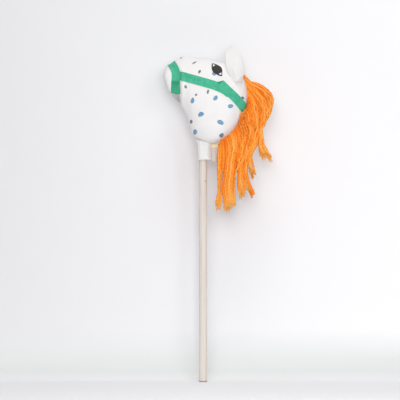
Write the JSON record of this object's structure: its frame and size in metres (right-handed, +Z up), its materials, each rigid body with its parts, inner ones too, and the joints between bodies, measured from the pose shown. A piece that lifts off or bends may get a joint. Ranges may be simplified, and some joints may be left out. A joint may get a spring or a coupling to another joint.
{
  "type": "hobby horse",
  "caption": "Stuffed cloth horse head with yarn mane and tape bridle, pushed on a round wooden stick.",
  "frame": {"origin": "centre of the flat lower end of the stick", "axes": "+Z up along the stick, the nose points to -X, the horse's left side faces -Y"},
  "size_m": [0.3039, 0.1142, 0.924],
  "materials": {
    "birch_dowel": "sanded bare birch",
    "card_tube": "wound card",
    "filling": "polyester fibre filling",
    "dotted_cotton": "white cotton printed with small blue dots",
    "white_cotton": "plain white cotton",
    "label": "blank woven label",
    "green_tape": "green woven cotton tape",
    "black_eye": "black applied cloth with stitched edge",
    "orange_yarn": "plied orange acrylic yarn"
  },
  "bodies": {
    "stick": {"stick": "birch_dowel"},
    "head": {"socket_tube": "card_tube", "head_stuffing": "filling", "head_cloth_left": "dotted_cotton", "head_cloth_right": "dotted_cotton", "neck_sleeve": "white_cotton", "sewn_label": "label", "noseband": "green_tape", "cheek_strap_left": "green_tape", "cheek_strap_right": "green_tape", "nape_strap": "green_tape", "eye_left": "black_eye", "eye_right": "black_eye", "mane_tape_upper": "white_cotton", "mane_tape_lower": "white_cotton", "mane_crest_left_1": "orange_yarn", "mane_crest_left_2": "orange_yarn", "mane_crest_left_3": "orange_yarn", "mane_crest_left_4": "orange_yarn", "mane_crest_right_1": "orange_yarn", "mane_crest_right_2": "orange_yarn", "mane_crest_right_3": "orange_yarn", "mane_crest_right_4": "orange_yarn", "mane_root_cord": "orange_yarn"},
    "ear_left": {"ear_left_lining": "white_cotton", "ear_left_outer": "white_cotton"},
    "ear_right": {"ear_right_lining": "white_cotton", "ear_right_outer": "white_cotton"},
    "mane_fall_left": {"mane_fall_left_5": "orange_yarn", "mane_fall_left_6": "orange_yarn"},
    "mane_fall_right": {"mane_fall_right_5": "orange_yarn", "mane_fall_right_6": "orange_yarn"}
  },
  "joints": [
    {"name": "head_slide", "type": "slide", "parent": "stick", "child": "head", "axis": [0, 0, 1], "range_m": [0, 0.17]},
    {"name": "ear_left_flex", "type": "hinge", "parent": "head", "child": "ear_left", "pos_m": [0.0935, -0.0418, 0.8255], "axis": [1, 0, 0], "range_deg": [0, 40], "stiffness_Nm_per_rad": 0.03},
    {"name": "ear_right_flex", "type": "hinge", "parent": "head", "child": "ear_right", "pos_m": [0.0935, 0.0418, 0.8255], "axis": [-1, 0, 0], "range_deg": [0, 40], "stiffness_Nm_per_rad": 0.03},
    {"name": "mane_left_swing", "type": "hinge", "parent": "head", "child": "mane_fall_left", "pos_m": [0.064, 0, 0.6674], "axis": [-0.7799, 0, -0.6259], "range_deg": [0, 40]},
    {"name": "mane_right_swing", "type": "hinge", "parent": "head", "child": "mane_fall_right", "pos_m": [0.064, 0, 0.6674], "axis": [0.7799, 0, 0.6259], "range_deg": [0, 40]}
  ]
}
